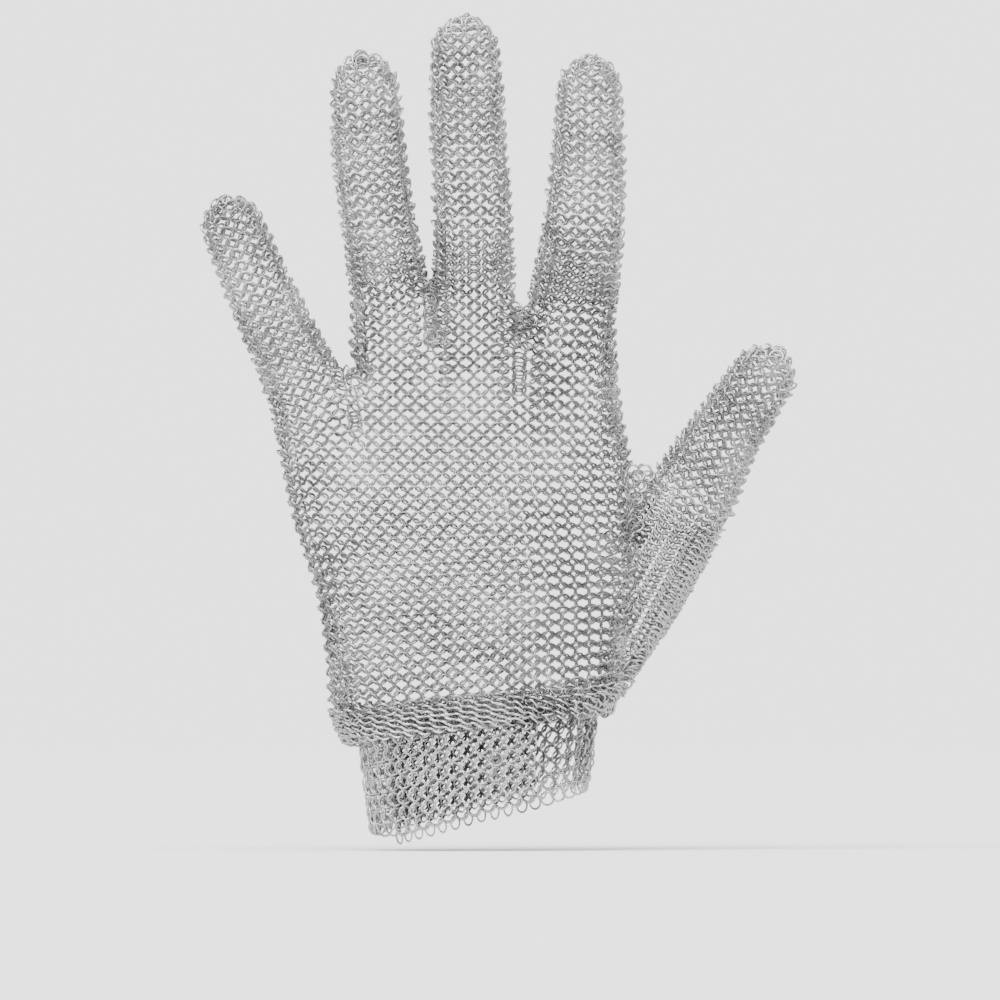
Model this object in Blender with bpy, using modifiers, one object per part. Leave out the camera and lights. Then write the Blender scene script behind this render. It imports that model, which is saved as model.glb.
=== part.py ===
"""A left-hand glove of fine steel ring mail, with a mail strap wound round the wrist as its cuff.

The origin is the centre of the wrist opening. +Z runs up the hand, -Y is the back of the hand,
+Y is the palm and the thumb is on the +X side. Every wall has the thickness of one layer of mail.
"""
import math
from collections import namedtuple

import bmesh
import bpy
from mathutils import Matrix, Vector

MM = 0.001

WALL = 1.9 * MM             # one layer of mail
GAP = 0.3 * MM              # between neighbouring pieces
OVERCUT = 3.0 * MM          # how far a hollow runs on through an open end

FINGER_SIDES = 18
BODY_SIDES = 44
SPAN_STEPS = 2              # loft rings between two rows of a table
DOME_STEPS = 4              # loft rings in a rounded fingertip
STALL_ROWS = 4              # rows of a finger's table that are above its base plane or on it
TANGENT_REACH = 0.05        # in rows: how far each way a finger's direction is measured
BEYOND = 200 * MM           # farther out than any part of the glove

STRAP_WALL = 1.8 * MM
STRAP_WIDTH = 29.0 * MM
STRAP_SPREAD = 3.4 * MM     # how far one turn of the strap lies outside the one before it
STRAP_STEP = 9.0            # degrees of turn between two columns of the strap
STRAP_ROWS = 2
WRIST_CENTRE_X = 0.4 * MM
WRIST_HALF_WIDTH = 26.1 * MM
WRIST_HALF_DEPTH = 19.2 * MM
WIDTH_FLARE = 0.13          # growth of the half width for each unit of height
DEPTH_FLARE = 0.06

HOOK_WALL = 0.9 * MM
HOOK_HEIGHT = 7.0 * MM
HOOK_BOTTOM = 9.0 * MM
HOOK_TURNS = (446.0, 470.0)

STEEL = (0.62, 0.62, 0.64)
STEEL_ROUGHNESS = 0.32
DARKEST_SHADE = 0.88        # the pieces' steels differ a little in shade
SHADE_STEP = 0.03
SHADES = 5

# One finger, in millimetres: rows from its root, deep in the hand, to the shoulder where the dome
# of its tip starts. The first of the last STALL_ROWS rows lies on the base plane, which parts the
# stall from the body.
Ring = namedtuple("Ring", "x y z half_width half_depth")
FINGERS = {
    "little_stall": (
        Ring(-38.0, 0.4, 93.0, 14.2, 13.4),
        Ring(-43.6, 0.6, 108.6, 12.6, 11.2),
        Ring(-46.8, 0.6, 116.1, 11.2, 10.2),
        Ring(-52.8, 1.0, 128.6, 10.0, 9.6),
        Ring(-59.2, 2.4, 142.0, 9.6, 9.0),
        Ring(-66.0, 6.0, 158.2, 8.9, 7.8),
    ),
    "ring_stall": (
        Ring(-17.0, 0.4, 101.0, 15.0, 14.0),
        Ring(-22.0, 0.2, 128.0, 13.2, 12.0),
        Ring(-23.9, 0.0, 141.2, 11.1, 10.5),
        Ring(-27.0, 0.5, 160.7, 10.4, 9.9),
        Ring(-29.4, 2.2, 178.0, 10.4, 9.3),
        Ring(-30.5, 6.4, 196.0, 9.6, 8.0),
    ),
    "middle_stall": (
        Ring(0.5, 0.4, 101.0, 15.0, 14.2),
        Ring(-0.6, 0.0, 129.0, 13.0, 12.2),
        Ring(-1.1, -0.4, 141.2, 11.3, 10.7),
        Ring(-1.5, 0.2, 164.7, 11.0, 10.1),
        Ring(-2.8, 2.2, 185.0, 10.5, 9.4),
        Ring(-3.5, 7.0, 206.0, 9.8, 8.0),
    ),
    "index_stall": (
        Ring(22.0, 0.4, 98.0, 15.4, 14.0),
        Ring(24.2, 0.2, 124.0, 13.8, 12.0),
        Ring(25.2, 0.0, 136.2, 12.4, 10.7),
        Ring(27.9, 0.4, 154.0, 11.5, 10.2),
        Ring(29.5, 2.0, 173.0, 10.6, 9.5),
        Ring(30.1, 6.6, 195.6, 9.2, 8.0),
    ),
    "thumb_stall": (
        Ring(28.0, 6.5, 36.0, 10.5, 12.5),
        Ring(41.0, 9.0, 58.5, 13.8, 11.0),
        Ring(57.2, 10.0, 85.9, 12.6, 10.8),
        Ring(63.2, 11.0, 96.6, 11.0, 10.2),
        Ring(69.6, 12.6, 107.2, 10.0, 9.6),
        Ring(76.6, 15.0, 117.6, 9.4, 8.6),
    ),
}

# The body, in millimetres: rows from the hem to the roots of the fingers. A row's height runs from
# z_left to z_right and rises by arch in the middle. A row is an ellipse where square is 2, and its
# corners get fuller as square grows.
Girth = namedtuple("Girth", "z_left z_right arch x_left x_right y_back y_palm square")
BODY = (
    Girth(19.5, 27.5, 0.0, -36.2, 36.0, -29.2, 26.8, 2.1),
    Girth(28.0, 33.5, 0.0, -40.2, 38.4, -28.8, 27.2, 2.2),
    Girth(42.0, 44.0, 0.0, -41.4, 40.2, -23.0, 23.5, 2.2),
    Girth(59.0, 59.0, 1.0, -43.8, 42.6, -18.0, 20.5, 2.4),
    Girth(78.0, 78.0, 2.0, -50.0, 43.0, -16.0, 18.0, 2.5),
    Girth(92.0, 94.0, 7.0, -53.0, 41.6, -15.2, 16.6, 2.5),
    Girth(101.0, 110.0, 12.0, -54.2, 39.0, -13.4, 14.4, 2.4),
    Girth(107.0, 122.0, 15.0, -53.8, 37.0, -9.4, 9.8, 2.2),
)
SIDE_SEAM_Y = 0.8 * MM          # the back and palm panels part on this plane

# The strap's lower edge. turn is in degrees round the wrist, from the little finger's side over
# the back of the wrist to the thumb's side and on; bottom is in millimetres.
Edge = namedtuple("Edge", "turn bottom")
STRAP = (
    Edge(31.0, -9.2),
    Edge(90.0, -2.4),
    Edge(180.0, 5.4),
    Edge(270.0, 0.6),
    Edge(360.0, -4.3),
    Edge(415.0, -3.0),
    Edge(450.0, 1.9),
    Edge(479.0, 5.1),
)


def clear_scene():
    for obj in list(bpy.data.objects):
        bpy.data.objects.remove(obj, do_unlink=True)


def new_collection(name):
    collection = bpy.data.collections.new(name)
    bpy.context.scene.collection.children.link(collection)
    return collection


def steel(name, shade):
    """A brushed steel whose colour is STEEL times shade."""
    material = bpy.data.materials.new(name)
    material.use_nodes = True
    surface = material.node_tree.nodes["Principled BSDF"]
    surface.inputs["Base Color"].default_value = [channel * shade for channel in STEEL] + [1.0]
    surface.inputs["Metallic"].default_value = 1.0
    surface.inputs["Roughness"].default_value = STEEL_ROUGHNESS
    return material


def mesh_object(name, points, faces, collection):
    mesh = bpy.data.meshes.new(name)
    mesh.from_pydata(points, [], faces)
    mesh.validate()
    solid = bmesh.new()
    solid.from_mesh(mesh)
    bmesh.ops.recalc_face_normals(solid, faces=solid.faces)
    solid.to_mesh(mesh)
    solid.free()
    obj = bpy.data.objects.new(name, mesh)
    collection.objects.link(obj)
    return obj


def smooth(rows, position):
    """The columns of a table read on a Catmull-Rom curve through its rows."""
    last = len(rows) - 1
    index = min(int(position), last - 1)
    t = position - index
    before = rows[max(index - 1, 0)]
    start = rows[index]
    end = rows[index + 1]
    after = rows[min(index + 2, last)]
    values = []
    for a, b, c, d in zip(before, start, end, after):
        bend = 2 * a - 5 * b + 4 * c - d
        twist = 3 * b - a - 3 * c + d
        values.append(0.5 * (2 * b + (c - a) * t + bend * t ** 2 + twist * t ** 3))
    return type(start)(*values)


def loft(rings, close_start, close_end):
    """Points and faces of a skin through rings that all have the same number of points."""
    sides = len(rings[0])
    points = [point for ring in rings for point in ring]
    faces = []
    for row in range(len(rings) - 1):
        for side in range(sides):
            following = (side + 1) % sides
            low = row * sides
            high = low + sides
            faces.append((low + side, low + following, high + following, high + side))
    if close_start:
        faces.append(tuple(reversed(range(sides))))
    if close_end:
        faces.append(tuple(range(len(points) - sides, len(points))))
    return points, faces


def finger_ring(rows, position, inset, scale=1.0, lift=0.0):
    """One loft ring, square to the finger's own line."""
    here = smooth(rows, position)
    last = len(rows) - 1
    low = smooth(rows, max(position - TANGENT_REACH, 0.0))
    high = smooth(rows, min(position + TANGENT_REACH, last))
    up = Vector((high.x - low.x, high.y - low.y, high.z - low.z)).normalized()
    across = Vector((up.z, 0.0, -up.x)).normalized()
    through = up.cross(across)
    centre = Vector((here.x, here.y, here.z)) * MM + up * lift
    half_width = (here.half_width * MM - inset) * scale
    half_depth = (here.half_depth * MM - inset) * scale
    points = []
    for side in range(FINGER_SIDES):
        angle = math.tau * side / FINGER_SIDES
        offset = across * half_width * math.cos(angle) + through * half_depth * math.sin(angle)
        points.append(centre + offset)
    return points


def stall(name, rows, collection):
    """A finger's tube above its base plane: an open skin with a domed tip, thickened inwards."""
    last = len(rows) - 1
    base = len(rows) - STALL_ROWS
    steps = (last - base) * SPAN_STEPS
    rings = [finger_ring(rows, base + step / SPAN_STEPS, 0.0) for step in range(steps + 1)]
    dome = rows[last].half_width * MM
    for step in range(1, DOME_STEPS):
        angle = 0.5 * math.pi * step / DOME_STEPS
        rings.append(finger_ring(rows, last, 0.0, math.cos(angle), dome * math.sin(angle)))
    tip = sum(finger_ring(rows, last, 0.0, 1.0, dome), Vector()) / FINGER_SIDES
    points, faces = loft(rings, False, False)
    top = len(points) - FINGER_SIDES
    points.append(tip)
    for side in range(FINGER_SIDES):
        faces.append((top + side, top + (side + 1) % FINGER_SIDES, len(points) - 1))
    obj = mesh_object(name, points, faces, collection)
    shell = obj.modifiers.new("mail", "SOLIDIFY")
    shell.thickness = WALL
    shell.offset = -1.0
    shell.use_even_offset = True
    shell.use_quality_normals = True
    return obj


def root(name, rows, inset, overrun, collection):
    """The solid of a finger below its base plane, which joins it to the body."""
    base = len(rows) - STALL_ROWS
    rings = [finger_ring(rows, step / SPAN_STEPS, inset) for step in range(base * SPAN_STEPS)]
    rings.append(finger_ring(rows, base, inset, 1.0, overrun))
    points, faces = loft(rings, True, True)
    return mesh_object(name, points, faces, collection)


def body_ring(row, inset, drop=0.0):
    centre_x = 0.5 * (row.x_left + row.x_right) * MM
    centre_y = 0.5 * (row.y_back + row.y_palm) * MM
    half_width = 0.5 * (row.x_right - row.x_left) * MM - inset
    half_depth = 0.5 * (row.y_palm - row.y_back) * MM - inset
    points = []
    for side in range(BODY_SIDES):
        angle = math.tau * side / BODY_SIDES
        cos, sin = math.cos(angle), math.sin(angle)
        u = math.copysign(abs(cos) ** (2 / row.square), cos)
        v = math.copysign(abs(sin) ** (2 / row.square), sin)
        share = 0.5 * (1 + u)
        height = row.z_left * (1 - share) + row.z_right * share + row.arch * (1 - u * u)
        points.append(Vector((centre_x + half_width * u, centre_y + half_depth * v, height * MM - drop)))
    return points


def body_form(name, inset, collection):
    """The solid of the hand part, or with an inset its hollow, which runs on out of the wrist.

    Each end is closed by strips across its width, which follow the arch of the last row.
    """
    last = len(BODY) - 1
    rows = [smooth(BODY, step / SPAN_STEPS) for step in range(last * SPAN_STEPS + 1)]
    rings = [body_ring(row, inset) for row in rows]
    if inset:
        rings.insert(0, body_ring(rows[0], inset, OVERCUT))
        rings[-1] = body_ring(rows[-1], inset, inset)
    points, faces = loft(rings, False, False)
    top = len(points) - BODY_SIDES
    for side in range(BODY_SIDES // 2):
        strip = [side, side + 1, BODY_SIDES - side - 1, (BODY_SIDES - side) % BODY_SIDES]
        strip = list(dict.fromkeys(strip))
        faces.append(tuple(reversed(strip)))
        faces.append(tuple(top + corner for corner in strip))
    return mesh_object(name, points, faces, collection)


def boolean(obj, operation, tool):
    modifier = obj.modifiers.new(tool.name, "BOOLEAN")
    modifier.operation = operation
    modifier.solver = "EXACT"
    modifier.object = tool


def panel(name, collection, tools, keep_back):
    """One sheet of the body: its form with all roots, less the hollow, on one side of the seam."""
    obj = body_form(name, 0.0, collection)
    for tool in tools["outer"]:
        boolean(obj, "UNION", tool)
    for tool in tools["inner"]:
        boolean(obj, "DIFFERENCE", tool)
    boolean(obj, "DIFFERENCE", tools["palm side" if keep_back else "back side"])
    return obj


def box(name, low, high, collection):
    bpy.ops.mesh.primitive_cube_add(size=1.0)
    obj = bpy.context.active_object
    obj.name = name
    low, high = Vector(low), Vector(high)
    size = high - low
    obj.data.transform(Matrix.Translation((low + high) / 2) @ Matrix.Diagonal((*size, 1.0)))
    for owner in list(obj.users_collection):
        owner.objects.unlink(obj)
    collection.objects.link(obj)
    return obj


def body_tools(cutters):
    """The roots, the hollows and the two halves of space that shape the panels."""
    outer, inner = [], []
    for name, rows in FINGERS.items():
        outer.append(root(name + " root", rows, 0.0, -GAP, cutters))
        inner.append(root(name + " root hollow", rows, WALL, OVERCUT, cutters))
    inner.append(body_form("hand hollow", WALL, cutters))
    palm_from = SIDE_SEAM_Y - 0.5 * GAP
    back_to = SIDE_SEAM_Y + 0.5 * GAP
    tools = {
        "outer": outer,
        "inner": inner,
        "palm side": box("palm side", (-BEYOND, palm_from, -BEYOND), (BEYOND,) * 3, cutters),
        "back side": box("back side", (-BEYOND,) * 3, (BEYOND, back_to, BEYOND), cutters),
    }
    for cutter in cutters.objects:
        cutter.hide_render = True
        cutter.display_type = "WIRE"
    return tools


def strap_point(turn, height, outwards):
    """A point on the wound strap; outwards is measured from the middle of its wall."""
    angle = math.radians(turn)
    spread = STRAP_SPREAD * (turn - STRAP[0].turn) / 360 + outwards
    half_width = WRIST_HALF_WIDTH + WIDTH_FLARE * height + spread
    half_depth = WRIST_HALF_DEPTH + DEPTH_FLARE * height + spread
    return Vector((WRIST_CENTRE_X - half_width * math.cos(angle), -half_depth * math.sin(angle), height))


def strap_bottom(turn):
    """The height of the strap's lower edge, in straight runs between the rows of its table."""
    for here, after in zip(STRAP, STRAP[1:]):
        if turn <= after.turn:
            share = (turn - here.turn) / (after.turn - here.turn)
            return (here.bottom + (after.bottom - here.bottom) * share) * MM
    return STRAP[-1].bottom * MM


def band(name, turns, span, spread, wall, collection):
    """A plate that follows the wound strap; span gives its lower and upper height at a turn."""
    first, last = turns
    columns = max(2, round((last - first) / STRAP_STEP))
    rings = []
    for column in range(columns + 1):
        turn = first + (last - first) * column / columns
        low, high = span(turn)
        heights = [low + (high - low) * row / STRAP_ROWS for row in range(STRAP_ROWS + 1)]
        outside = [strap_point(turn, height, spread + 0.5 * wall) for height in heights]
        inside = [strap_point(turn, height, spread - 0.5 * wall) for height in reversed(heights)]
        rings.append(outside + inside)
    points, faces = loft(rings, True, True)
    return mesh_object(name, points, faces, collection)


def cuff_strap(collection):
    def span(turn):
        low = strap_bottom(turn)
        return low, low + STRAP_WIDTH

    return band("cuff_strap", (STRAP[0].turn, STRAP[-1].turn), span, 0.0, STRAP_WALL, collection)


def cuff_hook(collection):
    """The hook's plate, in the middle of the space between the strap's two layers."""
    def span(_turn):
        return HOOK_BOTTOM, HOOK_BOTTOM + HOOK_HEIGHT

    return band("cuff_hook", HOOK_TURNS, span, -0.5 * STRAP_SPREAD, HOOK_WALL, collection)


def main():
    clear_scene()
    glove = new_collection("chainmail_glove")
    cutters = new_collection("cutters")
    tools = body_tools(cutters)
    pieces = {
        "back_panel": panel("back_panel", glove, tools, True),
        "palm_panel": panel("palm_panel", glove, tools, False),
    }
    for name, rows in FINGERS.items():
        pieces[name] = stall(name, rows, glove)
    pieces["cuff_strap"] = cuff_strap(glove)
    pieces["cuff_hook"] = cuff_hook(glove)
    for order, (name, obj) in enumerate(pieces.items()):
        shade = DARKEST_SHADE + SHADE_STEP * (order % SHADES)
        obj.data.materials.append(steel(name + " steel", shade))


main()
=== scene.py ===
"""A left-hand glove of fine steel ring mail, with every ring of its weave laid over the frame.

The rings lie in lattices: the hand's, one for each finger, the thumb's and the cuff strap's. A
lattice is a grid of places in rows and columns. Even rows carry a ring on each column and odd rows
carry one between two columns, so each ring has four neighbours. Lengths are in metres.

Rings are handled as a list of five arrays: their places, their row's direction and pitch (along),
their columns' direction and step (up), the sign of their row's tilt, and their lean in degrees.
"""

import math

import bpy
import numpy as np
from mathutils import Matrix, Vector
from mathutils.bvhtree import BVHTree
from mathutils.kdtree import KDTree


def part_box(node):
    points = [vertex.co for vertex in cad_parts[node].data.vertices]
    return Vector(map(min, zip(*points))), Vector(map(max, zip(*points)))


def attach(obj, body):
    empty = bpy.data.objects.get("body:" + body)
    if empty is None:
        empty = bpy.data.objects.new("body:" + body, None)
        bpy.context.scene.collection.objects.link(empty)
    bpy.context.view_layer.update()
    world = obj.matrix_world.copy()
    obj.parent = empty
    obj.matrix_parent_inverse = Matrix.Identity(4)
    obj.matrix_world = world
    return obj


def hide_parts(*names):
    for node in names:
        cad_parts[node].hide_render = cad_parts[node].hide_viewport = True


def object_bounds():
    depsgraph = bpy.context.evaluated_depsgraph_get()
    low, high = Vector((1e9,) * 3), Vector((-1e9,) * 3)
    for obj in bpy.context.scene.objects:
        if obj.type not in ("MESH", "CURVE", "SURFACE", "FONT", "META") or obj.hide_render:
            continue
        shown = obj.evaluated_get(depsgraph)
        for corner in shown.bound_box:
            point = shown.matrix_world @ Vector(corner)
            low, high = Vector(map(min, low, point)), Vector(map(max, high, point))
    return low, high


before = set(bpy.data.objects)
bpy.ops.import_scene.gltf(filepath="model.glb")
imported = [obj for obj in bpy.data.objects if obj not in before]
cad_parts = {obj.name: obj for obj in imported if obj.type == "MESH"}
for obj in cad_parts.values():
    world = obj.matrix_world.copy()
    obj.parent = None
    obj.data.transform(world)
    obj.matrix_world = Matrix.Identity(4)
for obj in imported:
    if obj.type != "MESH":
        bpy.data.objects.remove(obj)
CAD_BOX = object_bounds()

MM = 0.001
X_AXIS = np.array([1.0, 0.0, 0.0])
Y_AXIS = np.array([0.0, 1.0, 0.0])
Z_AXIS = np.array([0.0, 0.0, 1.0])

# The ring
WIRE = 0.61 * MM
RING_RADIUS = 1.80 * MM  # to the middle of the wire
RING_SIDES = 12
WIRE_SIDES = 4
WELD_SWELL = 1.16
OVALNESS = 0.025

# The weave
PITCH = 4.1 * MM  # between two rings of a row
TUBE_PITCH = 3.95 * MM  # between two rings of a row, round a finger
WIDE_GAP = 5.0 * MM  # two columns farther apart than this share a ring in each row
COLUMN_GAP = 6.3 * MM  # farther apart, they leave room for the rings of one more column
WIDEST_GAP = 8.6 * MM  # and farther apart still, no ring joins them
TOO_CLOSE = 1.75 * MM  # of two lattices' rings nearer than this, one is left out
INSET = 1.2 * MM  # of the rings' middles from the outside of the frame
TIP_INSET = 0.5 * MM  # and at the very tips of the fingers
TILT = 33.0  # degrees, where rows are TILT_ROW_STEP apart
TILT_ROW_STEP = 1.7 * MM
TILT_RISE = 15.0  # degrees more for each millimetre less between the rows
TILT_RANGE = (14.0, 64.0)
TILT_SCATTER = 2.4  # degrees
SIDE_SCATTER = 9.0  # and at the sides
PLACE_SCATTER = 0.05 * MM
CROWDED_PITCH = 4.0 * MM  # rings closer than this in a row turn a little like shingles
SHINGLE = 40.0  # degrees for each millimetre
SHINGLE_MOST = 14.0
SIDEWAYS = (0.45, 0.85)  # y of the normals of rings that count as at the side, and as facing
HAND_LEAN = (  # x in millimetres, and the lean there in degrees
    (-26.0, 0.0),
    (0.0, 4.0),
    (9.0, 12.0),
    (18.0, 34.0),
    (30.0, 42.0),
)
LEAN_FADE = (  # height in millimetres, and the share of that lean there
    (40.0, 1.0),
    (110.0, 0.5),
)

# Tones: each ring's grey, and its half shading, which is how much brighter its outward half is
# painted: painted light and shade on the two halves of each ring
RING_TONES = 0.6  # how far tones differ from ring to ring
ROW_PAINTED_LIGHT = 0.32  # and from row to row: painted light that makes the rows of one tilt paler than those of the other
HALF_SHADING_DEPTH = 1.6 * MM  # a point this far out of its ring's middle has the full painted half shading
OPEN_HALF_SHADING = -1.0  # open mail is painted brighter inside: painted shade on the outward halves, painted light on the inward ones
SIDE_HALF_SHADING = 0.3
HALF_SHADING_RANGE = (-1.0, 1.3)
FINGER_PALER = 0.3

# The hand
HAND_NODES = ("back_panel", "palm_panel")
SEAM_Y = 0.8 * MM  # the back's and the palm's mail part on this plane
HAND_COLUMNS = 52
LEFTMOST = -14  # the column at the little finger's edge; 0 is the middle one
HAND_TOP = 94.0 * MM
GIRTH_STEPS = 721
ROW_STEP = 1.67 * MM
SQUARENESS = 2.4
LEVEL_STEP = 1.5 * MM  # between two sections that are read off the frame
PALM_SECTION_X = 12 * MM  # the hand's depth is read off left of this
FLAT_Y = 0.6  # rings whose outward direction has more y than this look along y
SKIN_REACH = 4 * MM
SKIN_MOST = 2.2 * MM
BALL_OF_THUMB = 8.0 * MM  # right of this the palm bulges out over the thumb's root
BALL_REACH = 30 * MM
BALL_MOST = 26 * MM
THUMB_SIDE = (  # height and x in millimetres of the side that the thumb hides
    (31.0, 38.2),
    (44.0, 40.2),
    (59.0, 42.6),
    (78.0, 43.0),
    (96.0, 41.4),
)

# The hem, where the hand's mail is drawn in over the cuff
HEM_ROWS = 11
HEM_STEP = 0.72 * MM
HEM_REACH = 36.0 * MM  # the hem's line is read off between these x
HEM_SAMPLE = 4 * MM
HEM_CLEAR = 0.6 * MM
HEM_FADE = 1.3  # of the hem's height: there its rings are as those above it
HEM_SLANT = math.radians(-27.0)
HEM_TIDY = (5 * MM, 30 * MM)  # left of the first x the hem's rings lie in order
HEM_UNTIDINESS = (0.12, 0.4)  # how much their slant differs at the two x, in radians
HEM_SPREAD = 0.05
HEM_SQUEEZE = 0.95  # how much closer their rows count as being, for their tilt
# Painted shade in the hem: darker inward halves of its rings, and darker whole rings, most on the
# palm's side
HEM_HALF_SHADING = 2.3
HEM_PAINTED_SHADE = {"back_mail": -0.15, "palm_mail": -1.0}

rng = np.random.default_rng(26)


# --- reading the frame ---

def unit(vectors):
    length = np.linalg.norm(vectors, axis=-1, keepdims=True)
    return vectors / np.maximum(length, 1e-12)


def running(line):
    """The length run at each point of a line."""
    return np.append(0.0, np.cumsum(np.linalg.norm(np.diff(line, axis=0), axis=1)))


def triangles(*nodes):
    """The corners of some CAD nodes' triangles, n x 3 x 3."""
    found = []
    for node in nodes:
        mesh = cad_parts[node].data
        mesh.calc_loop_triangles()
        points = np.empty(len(mesh.vertices) * 3)
        mesh.vertices.foreach_get("co", points)
        corners = np.empty(len(mesh.loop_triangles) * 3, dtype=np.int32)
        mesh.loop_triangles.foreach_get("vertices", corners)
        found.append(points.reshape(-1, 3)[corners.reshape(-1, 3)])
    return np.concatenate(found)


def cut(corners, height, axis):
    """The points where a plane square to axis crosses the edges of triangles."""
    side = corners @ axis - height
    following = np.roll(side, -1, axis=1)
    crossed = side * following < 0
    share = (side[crossed] / (side[crossed] - following[crossed]))[:, None]
    after = np.roll(corners, -1, axis=1)
    return corners[crossed] + (after[crossed] - corners[crossed]) * share


def skin_tree(*nodes):
    corners = triangles(*nodes)
    points = [Vector(point) for point in corners.reshape(-1, 3)]
    faces = [(3 * i, 3 * i + 1, 3 * i + 2) for i in range(len(corners))]
    return BVHTree.FromPolygons(points, faces)


def place_tree(places):
    tree = KDTree(len(places))
    for index, place in enumerate(places):
        tree.insert(Vector(place), index)
    tree.balance()
    return tree


def onto_skin(tree, points, outwards, reach, most):
    """Points moved to the inset under the frame's skin, unless that moves them more than most."""
    placed = points.copy()
    for i, (point, out) in enumerate(zip(points, outwards)):
        start = Vector(point + out * reach)
        hit = tree.ray_cast(start, Vector(-out), 2 * reach)[0]
        if hit is not None:
            moved = np.array(hit) - out * INSET
            if np.linalg.norm(moved - point) < most:
                placed[i] = moved
    return placed


WALL_REACH = 3 * MM
WALL_ASIDE = (0.0, -0.6 * MM, 0.6 * MM)  # rays beside a ring's middle pass the panels' seam


def in_wall(tree, rings):
    """True for rings that lie close under the frame's outside, and not across a hollow."""
    found = np.zeros(len(rings[0]), dtype=bool)
    outwards = unit(np.cross(rings[1], rings[2]))
    for aside in WALL_ASIDE:
        for i, point in enumerate(rings[0] + unit(rings[1]) * aside):
            found[i] |= tree.ray_cast(Vector(point), Vector(outwards[i]), WALL_REACH)[3] is not None
    return found


def hand_side(height):
    """x of the hand's side where the thumb hides it, at one height or many."""
    heights, x = np.transpose(THUMB_SIDE) * MM
    return np.interp(height, heights, x)


# --- lattices ---

def as_arrays(rings):
    return [np.array(values) for values in zip(*rings)]


def keep(rings, chosen):
    return [values[chosen] for values in rings]


def join(*parts):
    return [np.concatenate(values) for values in zip(*parts)]


def clear_of(rings, others, distance):
    """The rings that are no nearer than a distance to any of the others."""
    tree = place_tree(others[0])
    apart = [tree.find(Vector(place))[2] > distance for place in rings[0]]
    return keep(rings, np.array(apart, dtype=bool))


def facing(rings):
    """1 for rings on the back or the palm, 0 for rings at the sides."""
    depth = np.abs(unit(np.cross(rings[1], rings[2]))[:, 1])
    return np.clip((depth - SIDEWAYS[0]) / (SIDEWAYS[1] - SIDEWAYS[0]), 0, 1)


def shares_between(apart, odd, filled):
    """Where rings lie in the gap between two columns, as shares of the way across it."""
    if apart > (WIDEST_GAP if filled else COLUMN_GAP):
        return ()
    if apart > COLUMN_GAP:
        return (0.25, 0.75) if odd else (0.5,)
    return (0.5,) if odd or filled and apart > WIDE_GAP else ()


def weave(grid, alive, first_row, closed, skip=None, filled=True):
    """The rings of a grid of places (rows x columns x 3), where its columns are alive.

    skip(row, left, right) leaves out rings at a column (left == right) or between two, and
    filled adds rings where two columns are far apart.
    """
    rings = []
    for row, living in enumerate(alive):
        live = np.flatnonzero(living).tolist()
        if len(live) < 2:
            continue
        odd = (first_row + row) % 2
        below, above = max(row - 1, 0), min(row + 1, len(alive) - 1)
        rises = (grid[above] - grid[below]) / (above - below)
        for left, right in zip(live, live[1:] + live[:1] if closed else live[1:]):
            if skip and skip(row, left, right):
                continue
            across = grid[row, right] - grid[row, left]
            rise = (rises[left] + rises[right]) / 2
            for share in shares_between(np.linalg.norm(across), odd, filled):
                rings.append((grid[row, left] + across * share, across, rise, -1 if odd else 1, 0.0))
        if odd:
            continue
        first, last = (live[-1], live[0]) if closed else (live[0], live[-1])
        for before, column, after in zip([first] + live, live, live[1:] + [last]):
            if skip and skip(row, column, column):
                continue
            steps = (before != column) + (after != column)
            across = (grid[row, after] - grid[row, before]) / steps
            rings.append((grid[row, column], across, rises[column], 1, 0.0))
    return as_arrays(rings)


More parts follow.
